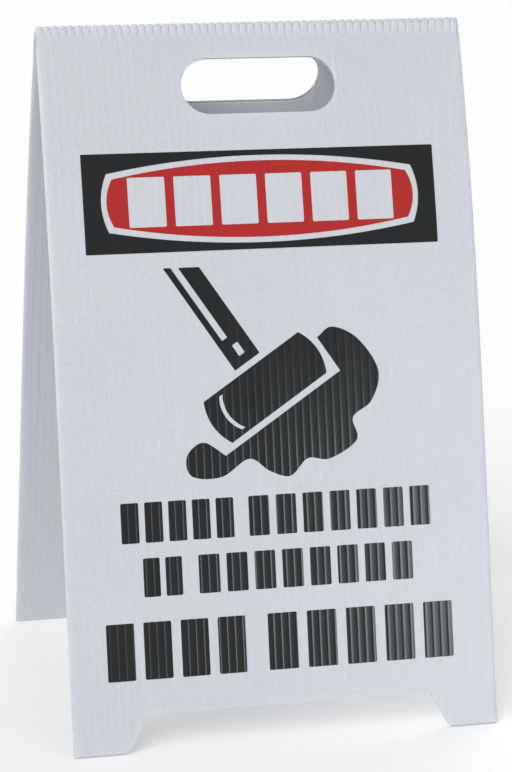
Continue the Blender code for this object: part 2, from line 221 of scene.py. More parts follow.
# ---- noise patterns: features a metre along x, y and z, and each pattern's share of the tone
BOARD_CLOUD = (9.0, 9.0, 9.0)
BOARD_LINES = (900.0, 6.0, 6.0)
BOARD_MOTTLE = (750.0, 750.0, 750.0)
BOARD_GRAIN = (2600.0, 160.0, 160.0)
BOARD_CLOUD_SHARE = 0.25
BOARD_LINES_SHARE = 0.10
BOARD_MOTTLE_SHARE = 0.75
INK_CLOUD = (30.0, 30.0, 30.0)
INK_GRAIN = (1500.0, 1500.0, 1500.0)
INK_PATCHES = (60.0, 14.0, 14.0)

# ---- the light
KEY_STRENGTH = 1.9
KEY_DIRECTION = (-45.0, 32.0)   # azimuth and elevation
SOFTBOX_RADIANCE = 7.0
SOFTBOX_DIRECTION = (27.5, 3.0)
SOFTBOX_SIZE = (0.72, 0.50)
SOFTBOX_DISTANCE = 2.4
SOFTBOX_TINT = (0.88, 0.95, 1.0)
BACK_FILL_STRENGTH = 0.9
BACK_FILL_DIRECTION = (150.0, 35.0)
SURROUND_STRENGTH = 0.48
BACKDROP_TONE = 0.97
SUN_ANGLE = 50.0
FLOOR_RADIUS = 12.0
FLOOR_GAP = 0.0002              # the floor lies this far under the feet
FLOOR_TONE = 0.76
FLOOR_GLOW = 0.25               # the floor is a light table, faintly lit from below
FLOOR_SIDES = 96
BACKDROP_RADIUS = FLOOR_RADIUS * 0.98
BACKDROP_SEGMENTS = 48
STAGE_ROUGHNESS = 0.9

# ---- the camera: where it stands, which way it looks, and its lens
CAMERA_PLACE = Vector((-0.4108, -1.7198, 0.6928))
CAMERA_YAW = math.radians(13.651)
CAMERA_PITCH = math.radians(-14.973)
CAMERA_ROLL = math.radians(0.588)
CAMERA_LENS = 117.2             # millimetres, like the sensor
SENSOR_WIDTH = 36.0

# ---- places worked out from the frame
leaf_low, leaf_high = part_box("front_leaf")
SIGN_WIDTH = leaf_high.x - leaf_low.x
FLUTE_PITCH = (SIGN_WIDTH - RIB) / FLUTE_COUNT
FIRST_RIB = -SIGN_WIDTH / 2.0 + RIB / 2.0
FOLD_AXIS = Vector(frame["joints"][0]["pos_m"])
HALF_TURN = Matrix.Rotation(math.pi, 4, "Z")    # from the front leaf to the rear one


# ---- the bowed leaf

def lean(down):
    """Angle of the leaf from the vertical, at distances down from the crease."""
    ease = np.clip(1.0 - down / BOW_LENGTH, 0.0, None)
    return FOOT_LEAN + (CREASE_LEAN - FOOT_LEAN) * ease * ease


def profile_table():
    """Distances down the leaf and the outer face's places there, from the fold axis."""
    edges = np.linspace(0.0, LEAF_LENGTH, PROFILE_STEPS + 1)
    middles = (edges[1:] + edges[:-1]) / 2.0
    step = edges[1] - edges[0]
    across = np.concatenate([[0.0], np.cumsum(-np.sin(lean(middles)) * step)])
    height = np.concatenate([[0.0], np.cumsum(-np.cos(lean(middles)) * step)])
    across -= math.cos(CREASE_LEAN) * CREASE_OUTER_RADIUS
    height += math.sin(CREASE_LEAN) * CREASE_OUTER_RADIUS
    return edges, across, height


DOWNS, PROFILE_Y, PROFILE_Z = profile_table()


def down_at_height(z):
    """How far down the leaf its outer face is at that height."""
    return float(np.interp(FOLD_AXIS.z - z, -PROFILE_Z, DOWNS))


def crushed(down, depth):
    """Depth under the outer face after the crease has crushed the ribs."""
    taper = np.clip((down - CRUSHED_LENGTH) / (CRUSH_TAPER_END - CRUSHED_LENGTH), 0.0, 1.0)
    taper = taper * taper * (3.0 - 2.0 * taper)
    thickness = CRUSHED_THICKNESS + (BOARD_THICKNESS - CRUSHED_THICKNESS) * taper
    rib_height = BOARD_THICKNESS - 2.0 * SKIN
    squeezed = (thickness - 2.0 * SKIN) / rib_height
    in_ribs = np.clip(depth - SKIN, 0.0, rib_height)
    return depth - in_ribs * (1.0 - squeezed)


def stand(flat):
    """Map points of the flat board (x across, y up, z out) to the standing front leaf."""
    down = np.clip(-flat[:, 1], 0.0, LEAF_LENGTH)
    height = np.where(flat[:, 2] > 0.0, flat[:, 2], -crushed(down, -flat[:, 2]))
    angle = lean(down)
    y = np.interp(down, DOWNS, PROFILE_Y) - np.cos(angle) * height
    z = np.interp(down, DOWNS, PROFILE_Z) + np.sin(angle) * height
    return np.stack([flat[:, 0], FOLD_AXIS.y + y, FOLD_AXIS.z + z], axis=1)


def from_rib(across):
    """Distance from the nearest rib's middle."""
    place = (across - FIRST_RIB) / FLUTE_PITCH
    return np.abs(place - np.round(place)) * FLUTE_PITCH


def skin_relief(across):
    """Height of the outer skin: a fine ridge over each rib, and a slight sag between ribs."""
    away = from_rib(across)
    ridge = RIB_RIDGE * np.exp(-((away / RIB_RIDGE_WIDTH) ** 2))
    return ridge - SKIN_SAG * (0.5 - 0.5 * np.cos(2.0 * math.pi * away / FLUTE_PITCH))


def columns(left, right):
    """Places across the leaf where the skin's relief needs a vertex."""
    places = []
    for flute in range(FLUTE_COUNT + 1):
        rib = FIRST_RIB + flute * FLUTE_PITCH
        for offset in COLUMN_OFFSETS:
            places += [rib - offset, rib + offset]
        places.append(rib + FLUTE_PITCH / 2.0)
    low, high = left + COLUMN_MARGIN, right - COLUMN_MARGIN
    return sorted({round(x, 7) for x in places if low < x < high})


# ---- outlines: x across the leaf, y up it

def arc(start, end, bulge, steps):
    """Points of a circular arc that rises by bulge to the left of start-end, end left out."""
    start, end = Vector(start), Vector(end)
    chord = end - start
    left = Vector((-chord.y, chord.x)).normalized()
    radius = (chord.length_squared / 4.0 + bulge * bulge) / (2.0 * bulge)
    centre = (start + end) / 2.0 + left * (bulge - radius)
    turn = 2.0 * math.asin(min(1.0, chord.length / 2.0 / abs(radius)))
    turn = -math.copysign(turn, bulge)
    ray = start - centre
    return [centre + Matrix.Rotation(turn * index / steps, 2) @ ray for index in range(steps)]


def rounded(corners, radius, steps=CORNER_STEPS):
    """An outline with each of its corners rounded, into steps + 1 points a corner."""
    points = []
    befores, afters = corners[-1:] + corners[:-1], corners[1:] + corners[:1]
    for before, corner, after in zip(befores, corners, afters):
        back, ahead = (before - corner).normalized(), (after - corner).normalized()
        opening = back.angle(ahead)
        reach = radius / math.tan(opening / 2.0)
        for index in range(steps + 1):
            t = index / steps
            start, end = corner + back * reach, corner + ahead * reach
            points.append(start.lerp(corner, t).lerp(corner.lerp(end, t), t))
    return points


def rectangle(left, right, top, bottom):
    """Outline of an upright rectangle; top and bottom are distances down the leaf."""
    return [Vector((left, -bottom)), Vector((right, -bottom)),
            Vector((right, -top)), Vector((left, -top))]


def stadium(centre, length, height, steps):
    """Slot with half-round ends."""
    half = (length - height) / 2.0
    radius = height / 2.0
    points = []
    for side in (1.0, -1.0):
        for index in range(steps + 1):
            angle = math.pi * (index / steps - 0.5) + (0.0 if side > 0.0 else math.pi)
            end = Vector((centre[0] + side * half, -centre[1]))
            points.append(end + Vector((math.cos(angle), math.sin(angle))) * radius)
    return points


def notch_outline(centre):
    """The shallow notch between a leaf's feet, run on below the leaf."""
    low, high = -LEAF_LENGTH, -LEAF_LENGTH + NOTCH_DEPTH
    rise = Vector((NOTCH_TOP_HALF - NOTCH_BOTTOM_HALF, NOTCH_DEPTH)).normalized()
    turn = math.atan2(rise.y, -rise.x)
    reach = FOOT_CORNER_RADIUS * math.tan(turn / 2.0)
    level = Vector((NOTCH_BOTTOM_HALF + reach, low))
    raised = Vector((NOTCH_BOTTOM_HALF, low)) + rise * reach
    bulge = FOOT_CORNER_RADIUS * (1.0 - math.cos(turn / 2.0))
    side = [Vector((level.x, low - CUTTER_MARGIN))] + arc(level, raised, bulge, FOOT_STEPS) + [raised]
    corners = rounded([raised, Vector((NOTCH_TOP_HALF, high)), Vector((0.0, high))], NOTCH_CORNER_RADIUS)
    only_middle = slice(CORNER_STEPS + 1, 2 * (CORNER_STEPS + 1))
    right = side + corners[only_middle]
    outline = right + [Vector((-point.x, point.y)) for point in reversed(right)]
    return [point + Vector((centre, 0.0)) for point in outline]


def barrel(box):
    """Outline of the header's field: a rectangle whose four sides swell outwards.

    box is the left, right, top and bottom of the field's own extent.
    """
    left, right, top, bottom = box
    left, right = left + FIELD_SIDE_BULGE, right - FIELD_SIDE_BULGE
    low, high = -bottom + FIELD_CROWN, -top - FIELD_CROWN
    corners = [Vector((left, low)), Vector((right, low)), Vector((right, high)), Vector((left, high))]
    points = []
    for index, bulge in enumerate([FIELD_CROWN, FIELD_SIDE_BULGE] * 2):
        steps = FIELD_CROWN_STEPS if bulge == FIELD_CROWN else FIELD_SIDE_STEPS
        points += arc(corners[index], corners[(index + 1) % 4], -bulge, steps)
    return points


def icon_point(along, across):
    """Point given in the tilted frame of the pictogram's head."""
    turned = Matrix.Rotation(ICON_TILT, 2) @ Vector((along, across))
    centre = Vector((ICON_CENTRE[0] + ICON_HEAD_CENTRE[0], -ICON_CENTRE[1] - ICON_HEAD_CENTRE[1]))
    return centre + turned


def icon_head():
    """The head of the tool: a tilted bar with bowed ends, and a slit that marks off its cap."""
    length, depth = ICON_HEAD_SIZE[0] / 2.0 - ICON_END_BULGE, ICON_HEAD_SIZE[1] / 2.0
    right_low, right_high = icon_point(length, -depth), icon_point(length, depth)
    left_low, left_high = icon_point(-length, -depth), icon_point(-length, depth)
    edge = arc(right_low, right_high, -ICON_END_BULGE, ICON_END_STEPS) + [right_high]
    edge += arc(left_high, left_low, -ICON_END_BULGE, ICON_END_STEPS) + [left_low]
    near, far = ICON_CAP - length, ICON_CAP - length + ICON_SLIT
    reach = depth - ICON_SLIT_MARGIN
    slit = arc(icon_point(far, -reach), icon_point(far, reach), ICON_END_BULGE, ICON_SLIT_STEPS)
    slit += [icon_point(far, reach)]
    slit += arc(icon_point(near, reach), icon_point(near, -reach), -ICON_END_BULGE, ICON_SLIT_STEPS)
    slit += [icon_point(near, -reach)]
    return [edge, slit]


def icon_line_end(along, foot):
    """Where a line square to the head meets the level top of the handle."""
    start, ahead = icon_point(along, foot), icon_point(along, foot + ICON_RAY)
    top = -ICON_CENTRE[1] - ICON_HANDLE_TOP
    return start + (ahead - start) * ((top - start.y) / (ahead.y - start.y))


def icon_handle():
    """The handle: a bar and a thin rod, cut level at the top and joined by a bracket."""
    foot = ICON_HEAD_SIZE[1] / 2.0 + ICON_GAP
    shoulder = foot + ICON_BRACKET_LENGTH
    side = ICON_HANDLE_WIDTH / 2.0
    bar, rod = side - ICON_BAR_WIDTH, ICON_ROD_WIDTH - side
    edge = [icon_point(-side, foot), icon_point(side, foot), icon_line_end(side, foot),
            icon_line_end(bar, foot), icon_point(bar, shoulder), icon_point(rod, shoulder),
            icon_line_end(rod, foot), icon_line_end(-side, foot)]
    half, depth = ICON_BRACKET_WINDOW[0] / 2.0, ICON_BRACKET_WINDOW[1] / 2.0
    middle = foot + ICON_BRACKET_LENGTH / 2.0
    window = [icon_point(-half, middle - depth), icon_point(half, middle - depth),
              icon_point(half, middle + depth), icon_point(-half, middle + depth)]
    return [rounded(edge, ICON_HANDLE_CORNER), rounded(window, ICON_WINDOW_CORNER)]


def smooth_through(points, steps):
    """Points of a Catmull-Rom curve through the given ones, its ends included."""
    ends = [points[0] * 2.0 - points[1]] + points + [points[-1] * 2.0 - points[-2]]
    curve = []
    for a, b, c, d in zip(ends, ends[1:], ends[2:], ends[3:]):
        for index in range(steps):
            t = index / steps
            curve.append(0.5 * (b * 2.0 + (c - a) * t + (a * 2.0 - b * 5.0 + c * 4.0 - d) * t * t
                                + (b * 3.0 - a - c * 3.0 + d) * t * t * t))
    return curve + [points[-1]]


def icon_puddle():
    """The puddle: a smooth shore on the far side, and a straight edge along the head."""
    length = ICON_HEAD_SIZE[0] / 2.0 + ICON_GAP
    depth = ICON_HEAD_SIZE[1] / 2.0 + ICON_GAP
    shore = [Vector((ICON_CENTRE[0] + x, -ICON_CENTRE[1] - y)) for x, y in PUDDLE_SHORE]
    start, end = icon_point(length, depth * PUDDLE_START), icon_point(-length, -depth)
    outline = smooth_through([start] + shore + [end], SHORE_STEPS) + [icon_point(length, -depth)]
    return outline[::-1]


# ---- mesh helpers

def filled(loops, low, high):
    """Closed plate from outlines: the first is the edge and the others are holes."""
    curve = bpy.data.curves.new("outline", "CURVE")
    curve.dimensions = "2D"
    curve.fill_mode = "BOTH"
    curve.extrude = (high - low) / 2.0
    for loop in loops:
        spline = curve.splines.new("POLY")
        spline.points.add(len(loop) - 1)
        spline.use_cyclic_u = True
        for point, place in zip(spline.points, loop):
            point.co = (place.x, place.y, 0.0, 1.0)
    guide = bpy.data.objects.new("outline", curve)
    bpy.context.scene.collection.objects.link(guide)
    mesh = evaluated_mesh(guide)
    bpy.data.objects.remove(guide)
    shape = bmesh.new()
    shape.from_mesh(mesh)
    bmesh.ops.remove_doubles(shape, verts=shape.verts, dist=MERGE_DISTANCE)
    bmesh.ops.translate(shape, verts=shape.verts, vec=(0.0, 0.0, (low + high) / 2.0))
    bmesh.ops.recalc_face_normals(shape, faces=shape.faces)
    shape.to_mesh(mesh)
    shape.free()
    return mesh


def evaluated_mesh(thing):
    """The object's mesh with its modifiers applied."""
    bpy.context.view_layer.update()
    graph = bpy.context.evaluated_depsgraph_get()
    return bpy.data.meshes.new_from_object(thing.evaluated_get(graph), depsgraph=graph)


def sliced(mesh, axis, places):
    """Cut the mesh's faces along planes square to one axis, so that it can be bent."""
    shape = bmesh.new()
    shape.from_mesh(mesh)
    normal = Vector((0.0, 0.0, 0.0))
    normal[axis] = 1.0
    for place in places:
        everything = shape.verts[:] + shape.edges[:] + shape.faces[:]
        bmesh.ops.bisect_plane(shape, geom=everything, dist=CUT_TOLERANCE,
                               plane_co=normal * place, plane_no=normal)
    shape.to_mesh(mesh)
    shape.free()
    return mesh


def coordinates(mesh):
    """The mesh's vertices as an array."""
    places = np.empty(len(mesh.vertices) * 3)
    mesh.vertices.foreach_get("co", places)
    return places.reshape(-1, 3)


def set_coordinates(mesh, places):
    """Move the mesh's vertices."""
    mesh.vertices.foreach_set("co", places.astype(np.float32).ravel())
    mesh.update()


def new_piece(name, mesh, material, body):
    """Add a finished mesh as a piece that rides on a CAD body."""
    mesh.materials.clear()
    mesh.materials.append(material)
    mesh.shade_smooth()
    mesh.set_sharp_from_angle(angle=SHARP_ANGLE)
    piece = bpy.data.objects.new(name, mesh)
    bpy.context.scene.collection.objects.link(piece)
    if body:
        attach(piece, body)
    return piece


# ---- the board

def section_outline():
    """The board's cross-section, x across and y out, with its ridged skins."""
    half = SIGN_WIDTH / 2.0
    across = [-half] + columns(-half, half) + [half]
    relief = skin_relief(np.array(across))
    outer = [Vector((x, z)) for x, z in zip(across, relief)]
    inner = [Vector((x, -BOARD_THICKNESS - z)) for x, z in zip(across, relief)]
    return inner + outer[::-1]


def flute_outline(index):
    """One flute's opening, with rounded corners."""
    left = FIRST_RIB + FLUTE_PITCH * index + RIB / 2.0
    right = left + FLUTE_PITCH - RIB
    corners = [Vector((left, -BOARD_THICKNESS + SKIN)), Vector((right, -BOARD_THICKNESS + SKIN)),
               Vector((right, -SKIN)), Vector((left, -SKIN))]
    return rounded(corners, FLUTE_CORNER_RADIUS, FLUTE_CORNER_STEPS)


def edge_distance(x, y, side):
    """Distance from the nearest punched edge: the slot's or the notch's."""
    slot = SLOT_CENTRES[side]
    half = (SLOT_LENGTH - SLOT_HEIGHT) / 2.0
    beyond = np.maximum(np.abs(x - slot[0]) - half, 0.0)
    to_slot = np.hypot(beyond, y + slot[1]) - SLOT_HEIGHT / 2.0
    height = y + LEAF_LENGTH
    out = np.abs(x - NOTCH_CENTRES[side])
    to_notch_top = np.where(out < NOTCH_TOP_HALF, height - NOTCH_DEPTH, FAR)
    rise = Vector((NOTCH_TOP_HALF - NOTCH_BOTTOM_HALF, NOTCH_DEPTH)).normalized()
    to_slope = (out - NOTCH_BOTTOM_HALF) * rise.y - height * rise.x
    to_slope = np.where((height < NOTCH_DEPTH) & (to_slope > -EDGE_SLACK), to_slope, FAR)
    return np.clip(np.minimum.reduce([to_slot, to_notch_top, to_slope]), 0.0, None)


def press_edges(flat, leaf):
    """Round the skins over along the cut edges, where the die pressed them."""
    x, y, z = flat.T
    near = np.clip(1.0 - edge_distance(x, y, leaf) / EDGE_CRUSH_REACH, 0.0, 1.0)
    side = np.clip(1.0 - (SIGN_WIDTH / 2.0 - np.abs(x)) / SIDE_CRUSH_REACH, 0.0, 1.0)
    pressed = EDGE_CRUSH * near ** 2 + SIDE_CRUSH * side ** 2
    middle = -BOARD_THICKNESS / 2.0
    squeeze = 1.0 - pressed / (BOARD_THICKNESS / 2.0)
    return np.stack([x, y, middle + (z - middle) * squeeze], axis=1)


def board_rows(slot):
    """Places up the leaf where the board needs a vertex, as y = -down."""
    downs = list(CRUSHED_END_ROWS)
    downs += list(np.arange(TAPER_ROW_START, CRUSH_TAPER_END, TAPER_ROW_STEP))
    downs += list(np.arange(CRUSH_TAPER_END, BOW_LENGTH, BOW_ROW_STEP))
    downs += list(np.arange(BOW_LENGTH, LEAF_LENGTH, FLAT_ROW_STEP))
    for edge in (slot[1] - SLOT_HEIGHT / 2.0, slot[1] + SLOT_HEIGHT / 2.0,
                 LEAF_LENGTH - NOTCH_DEPTH, LEAF_LENGTH):
        for offset in EDGE_ROW_OFFSETS:
            downs += [edge - offset, edge + offset]
    return [-down for down in sorted(downs) if LEAF_START < down < LEAF_LENGTH - EDGE_SLACK]


def board_mesh(side):
    """One leaf of twin-wall board: open flutes, slot, notch, ridged skins and pressed edges."""
    slot = SLOT_CENTRES[side]
    loops = [section_outline()] + [flute_outline(index) for index in range(FLUTE_COUNT)]
    mesh = filled(loops, LEAF_START, LEAF_LENGTH)
    # The section was drawn in x and y and run along z: lay it down so that z is outwards.
    mesh.transform(Matrix(((1, 0, 0, 0), (0, 0, -1, 0), (0, 1, 0, 0), (0, 0, 0, 1))))
    board = bpy.data.objects.new("board", mesh)
    bpy.context.scene.collection.objects.link(board)
    slot_edge = stadium(slot, SLOT_LENGTH, SLOT_HEIGHT, SLOT_END_STEPS)
    cutters = []
    for outline in (slot_edge, notch_outline(NOTCH_CENTRES[side])):
        cutter_mesh = filled([outline], -BOARD_THICKNESS - CUTTER_MARGIN, CUTTER_MARGIN)
        cutter = bpy.data.objects.new("cutter", cutter_mesh)
        bpy.context.scene.collection.objects.link(cutter)
        cut = board.modifiers.new("cut", "BOOLEAN")
        cut.operation = "DIFFERENCE"
        cut.solver = "EXACT"
        cut.object = cutter
        cutters.append(cutter)
    cut_mesh = evaluated_mesh(board)
    for thing in cutters + [board]:
        bpy.data.objects.remove(thing)
    sliced(cut_mesh, 1, board_rows(slot))
    set_coordinates(cut_mesh, stand(press_edges(coordinates(cut_mesh), side)))
    if side == "rear":
        cut_mesh.transform(HALF_TURN)
    return cut_mesh


# ---- the crease

def crest_radius(turn):
    """Distance of the crease's outer face from the fold axis: a tent with a blunt crest."""
    side = math.pi / 2.0 - CREASE_LEAN
    blunt = math.hypot(turn, CREST_ROUNDING) * side / math.hypot(side, CREST_ROUNDING)
    return CREASE_OUTER_RADIUS / math.cos(side - blunt)


def crease_path():
    """Rows over the ridge, in the Y-Z plane: outer point, outward direction, thickness, reach."""
    rows = []
    for index in range(CREASE_ROWS):
        down = CREASE_REACH * (1.0 - index / CREASE_ROWS)
        angle = float(lean(down))
        y, z = np.interp(down, DOWNS, PROFILE_Y), np.interp(down, DOWNS, PROFILE_Z)
        out = Vector((-math.cos(angle), math.sin(angle)))
        rows.append((Vector((float(y), float(z))), out, CREASE_WEB, down / CREASE_REACH))
    mirrored = [(Vector((-point.x, point.y)), Vector((-out.x, out.y)), web, reach)
                for point, out, web, reach in reversed(rows)]
    side = math.pi / 2.0 - CREASE_LEAN
    ridge = []
    for index in range(RIDGE_ROWS + 1):
        turn = side * (2.0 * index / RIDGE_ROWS - 1.0)
        out = Vector((math.sin(turn), math.cos(turn)))
        radius = crest_radius(turn)
        ridge.append((out * radius, out, radius - CREASE_INNER_RADIUS, 0.0))
    return rows + ridge + mirrored


def crease_mesh():
    """The crushed ridge: puffed up between ribs, pinched at each rib, and sunk into the board."""
    half = SIGN_WIDTH / 2.0 - CREASE_SIDE_GAP
    across = np.array([-half] + columns(-half, half) + [half])
    away = from_rib(across)
    swell = PUFF * (1.0 - np.exp(-((away / PUFF_WIDTH) ** 2)))
    along = (across + half) / (2.0 * half)
    depth = PINCH * (PINCH_LEAST + (1.0 - PINCH_LEAST) * along)
    pinch = depth * np.exp(-((away / PINCH_WIDTH) ** 2))
    lift = CREST_LIFT * along
    end = np.clip(1.0 - (half - np.abs(across)) / SIDE_CRUSH_REACH, 0.0, 1.0)
    shape = bmesh.new()
    rings = []
    for point, out, web, reach in crease_path():
        fade = (1.0 - reach) ** 2
        rises = (swell - pinch + lift) * fade - SIDE_CRUSH * end * end - CREASE_SINK * reach
        web *= 1.0 - CREASE_THINNING * reach
        spread = across * (1.0 - CREASE_INSET * reach / half)
        tops, unders = [], []
        for x, rise in zip(spread, rises):
            top, under = point + out * rise, point - out * web
            tops.append(shape.verts.new((x, top.x, FOLD_AXIS.z + top.y)))
            unders.append(shape.verts.new((x, under.x, FOLD_AXIS.z + under.y)))
        rings.append((tops, unders))
    for (tops, unders), (next_tops, next_unders) in zip(rings, rings[1:]):
        for left in range(len(across) - 1):
            right = left + 1
            shape.faces.new((tops[left], tops[right], next_tops[right], next_tops[left]))
            shape.faces.new((unders[left], next_unders[left], next_unders[right], unders[right]))
        for tip in (0, -1):
            shape.faces.new((tops[tip], next_tops[tip], next_unders[tip], unders[tip]))
    for tops, unders in (rings[0], rings[-1]):
        for left in range(len(across) - 1):
            right = left + 1
            shape.faces.new((tops[left], unders[left], unders[right], tops[right]))
    bmesh.ops.recalc_face_normals(shape, faces=shape.faces)
    mesh = bpy.data.meshes.new("crease")
    shape.to_mesh(mesh)
    shape.free()
    return mesh


# ---- the print

def node_extent(node):
    """Left, right, top and bottom of a printed node of the front leaf, in the leaf's own frame."""
    low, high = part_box(node)
    return low.x, high.x, down_at_height(high.z), down_at_height(low.z)


def word_blocks(word):
    """The upright blocks that stand for one word's letters."""
    left, right, top, bottom = node_extent("front_" + word)
    count = LINE_LETTERS[word]
    width = (right - left) / (count + LETTER_GAP * (count - 1))
    blocks = []
    for index in range(count):
        start = left + index * width * (1.0 + LETTER_GAP)
        blocks.append(rounded(rectangle(start, start + width, top, bottom), LETTER_CORNER))
    return blocks


def windows(box):
    """The plain blocks left bare in the header's field."""
    middle = (box[0] + box[1]) / 2.0
    centre = (box[2] + box[3]) / 2.0
    width, height = WINDOW_SIZE
    blocks = []
    for index in range(WINDOW_COUNT):
        x = middle + WINDOW_PITCH * (index - (WINDOW_COUNT - 1) / 2.0)
        left, right = x - width / 2.0, x + width / 2.0
        corners = rectangle(left, right, centre - height / 2.0, centre + height / 2.0)
        blocks.append(rounded(corners, LETTER_CORNER))
    return blocks


def ink_mesh(shapes):
    """Printed film over the ridged skin: each shape is an outline followed by its holes."""
    whole = bmesh.new()
    for loops in shapes:
        mesh = filled(loops, -INK_BURIED, INK_PROUD)
        xs = [point.x for point in loops[0]]
        ys = [point.y for point in loops[0]]
        sliced(mesh, 0, columns(min(xs), max(xs)))
        rows = np.arange(-LEAF_LENGTH, 0.0, INK_ROW_STEP)
        sliced(mesh, 1, [row for row in rows if min(ys) < row < max(ys)])
        flat = coordinates(mesh)
        lifted = flat[:, 2] + skin_relief(flat[:, 0])
        flat = np.stack([flat[:, 0], flat[:, 1], np.zeros(len(flat))], axis=1)
        base = stand(flat)
        angle = lean(np.clip(-flat[:, 1], 0.0, LEAF_LENGTH))
        base[:, 1] -= np.cos(angle) * lifted
        base[:, 2] += np.sin(angle) * lifted
        set_coordinates(mesh, base)
        whole.from_mesh(mesh)
        bpy.data.meshes.remove(mesh)
    bmesh.ops.dissolve_degenerate(whole, dist=INK_MERGE, edges=whole.edges)
    mesh = bpy.data.meshes.new("ink")
    whole.to_mesh(mesh)
    whole.free()
    return mesh


def print_pieces(black, red):
    """Everything printed on both leaves: the rear leaf carries the same print, turned half round."""
    field = node_extent("front_header_field")
    ring = (field[0] - RING_WIDTH, field[1] + RING_WIDTH, field[2] - RING_WIDTH, field[3] + RING_WIDTH)
    block = rounded(rectangle(*node_extent("front_header_block")), BLOCK_CORNER)
    shapes = {
        "header_block": ([[block, barrel(ring)]], black, "ink_black"),
        "header_field": ([[barrel(field)] + windows(field)], red, "ink_red"),
        "icon_handle": ([icon_handle()], black, "ink_black"),
        "icon_head": ([icon_head()], black, "ink_black"),
        "icon_puddle": ([[icon_puddle()]], black, "ink_black"),
    }
    for word in LINE_LETTERS:
        shapes[word] = ([[outline] for outline in word_blocks(word)], black, "ink_black")
    for name, (outlines, material, slot) in shapes.items():
        mesh = ink_mesh(outlines)
        turned = mesh.copy()
        turned.transform(HALF_TURN)
        for side, side_mesh in (("front", mesh), ("rear", turned)):
            piece = new_piece(f"{side}_{name}_print", side_mesh, material, side)
            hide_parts(f"{side}_{name}")


# ---- materials

def math_node(tree, operation, *values):
    """A Math node; each value is a number or another node's output."""
    node = tree.nodes.new("ShaderNodeMath")
    node.operation = operation
    for socket, value in zip(node.inputs, values):
        if isinstance(value, (int, float)):
            socket.default_value = value
        else:
            tree.links.new(value, socket)
    return node.outputs[0]


def stretched_noise(tree, coordinates_output, scale, detail):
    """Noise texture over coordinates scaled by axis."""
    mapping = tree.nodes.new("ShaderNodeMapping")
    mapping.inputs["Scale"].default_value = scale
    tree.links.new(coordinates_output, mapping.inputs["Vector"])
    noise = tree.nodes.new("ShaderNodeTexNoise")
    noise.inputs["Scale"].default_value = 1.0
    noise.inputs["Detail"].default_value = detail
    tree.links.new(mapping.outputs["Vector"], noise.inputs["Vector"])
    return noise.outputs["Fac"]


def mixed(tree, factor, dark, light):
    """Mix of two colours by a factor output."""
    mix = tree.nodes.new("ShaderNodeMix")
    mix.data_type = "RGBA"
    tree.links.new(factor, mix.inputs["Factor"])
    mix.inputs["A"].default_value = (*dark, 1.0)
    mix.inputs["B"].default_value = (*light, 1.0)
    return mix.outputs["Result"]


def rib_shade(tree, object_output):
    """Mask of the painted rib shade: 1 over each rib and 0 between ribs, from the place across the sign.
    """
    separate = tree.nodes.new("ShaderNodeSeparateXYZ")
    tree.links.new(object_output, separate.inputs[0])
    across = math_node(tree, "SUBTRACT", separate.outputs["X"], FIRST_RIB)
    place = math_node(tree, "DIVIDE", across, FLUTE_PITCH)
    nearest = math_node(tree, "ROUND", place)
    away = math_node(tree, "ABSOLUTE", math_node(tree, "SUBTRACT", place, nearest))
    reach = math_node(tree, "DIVIDE", away, RIB_SHADE_WIDTH)
    fade = math_node(tree, "SMOOTH_MIN", reach, 1.0, RIB_SHADE_SOFTNESS)
    return math_node(tree, "SUBTRACT", 1.0, fade)


def bumped(tree, shader, height, strength, distance):
    """Give the shader a fine relief."""
    bump = tree.nodes.new("ShaderNodeBump")
    bump.inputs["Strength"].default_value = strength
    bump.inputs["Distance"].default_value = distance
    tree.links.new(height, bump.inputs["Height"])
    tree.links.new(bump.outputs["Normal"], shader.inputs["Normal"])


def base_material(name):
    """A material with its tree, shader and object coordinates."""
    material = bpy.data.materials.new(name)
    material.use_nodes = True
    tree = material.node_tree
    shader = tree.nodes["Principled BSDF"]
    where = tree.nodes.new("ShaderNodeTexCoord").outputs["Object"]
    return material, tree, shader, where


def board_material():
    """White twin-wall plastic: translucent and satin, with a fine mottle, extrusion lines and a painted
    shade over each rib.
    """
    material, tree, shader, where = base_material("board_plastic")
    cloud = stretched_noise(tree, where, BOARD_CLOUD, 3.0)
    lines = stretched_noise(tree, where, BOARD_LINES, 2.0)
    mottle = stretched_noise(tree, where, BOARD_MOTTLE, 2.0)
    tone = math_node(tree, "MULTIPLY", cloud, BOARD_CLOUD_SHARE)
    tone = math_node(tree, "MULTIPLY_ADD", lines, BOARD_LINES_SHARE, tone)
    tone = math_node(tree, "MULTIPLY_ADD", mottle, BOARD_MOTTLE_SHARE, tone)
    plain = mixed(tree, tone, BOARD_DARK, BOARD_LIGHT)
    # painted shade: the base colour darkens faintly over each rib, where the rib would show through the
    # translucent skin
    mix = tree.nodes.new("ShaderNodeMix")
    mix.data_type = "RGBA"
    ribs = rib_shade(tree, where)
    tree.links.new(math_node(tree, "MULTIPLY", ribs, RIB_SHADE_WEIGHT), mix.inputs["Factor"])
    tree.links.new(plain, mix.inputs["A"])
    mix.inputs["B"].default_value = (*PAINTED_RIB_SHADE, 1.0)
    tree.links.new(mix.outputs["Result"], shader.inputs["Base Color"])
    shader.inputs["Subsurface Weight"].default_value = BOARD_SUBSURFACE
    shader.inputs["Subsurface Radius"].default_value = (1.0, 1.0, 1.0)
    shader.inputs["Subsurface Scale"].default_value = BOARD_SUBSURFACE_SCALE
    grain = stretched_noise(tree, where, BOARD_GRAIN, 2.0)
    rough = math_node(tree, "MULTIPLY_ADD", grain, BOARD_ROUGHNESS_SPREAD, BOARD_ROUGHNESS)
    tree.links.new(rough, shader.inputs["Roughness"])
    bumped(tree, shader, grain, BOARD_BUMP, BOARD_BUMP_DISTANCE)
    return material


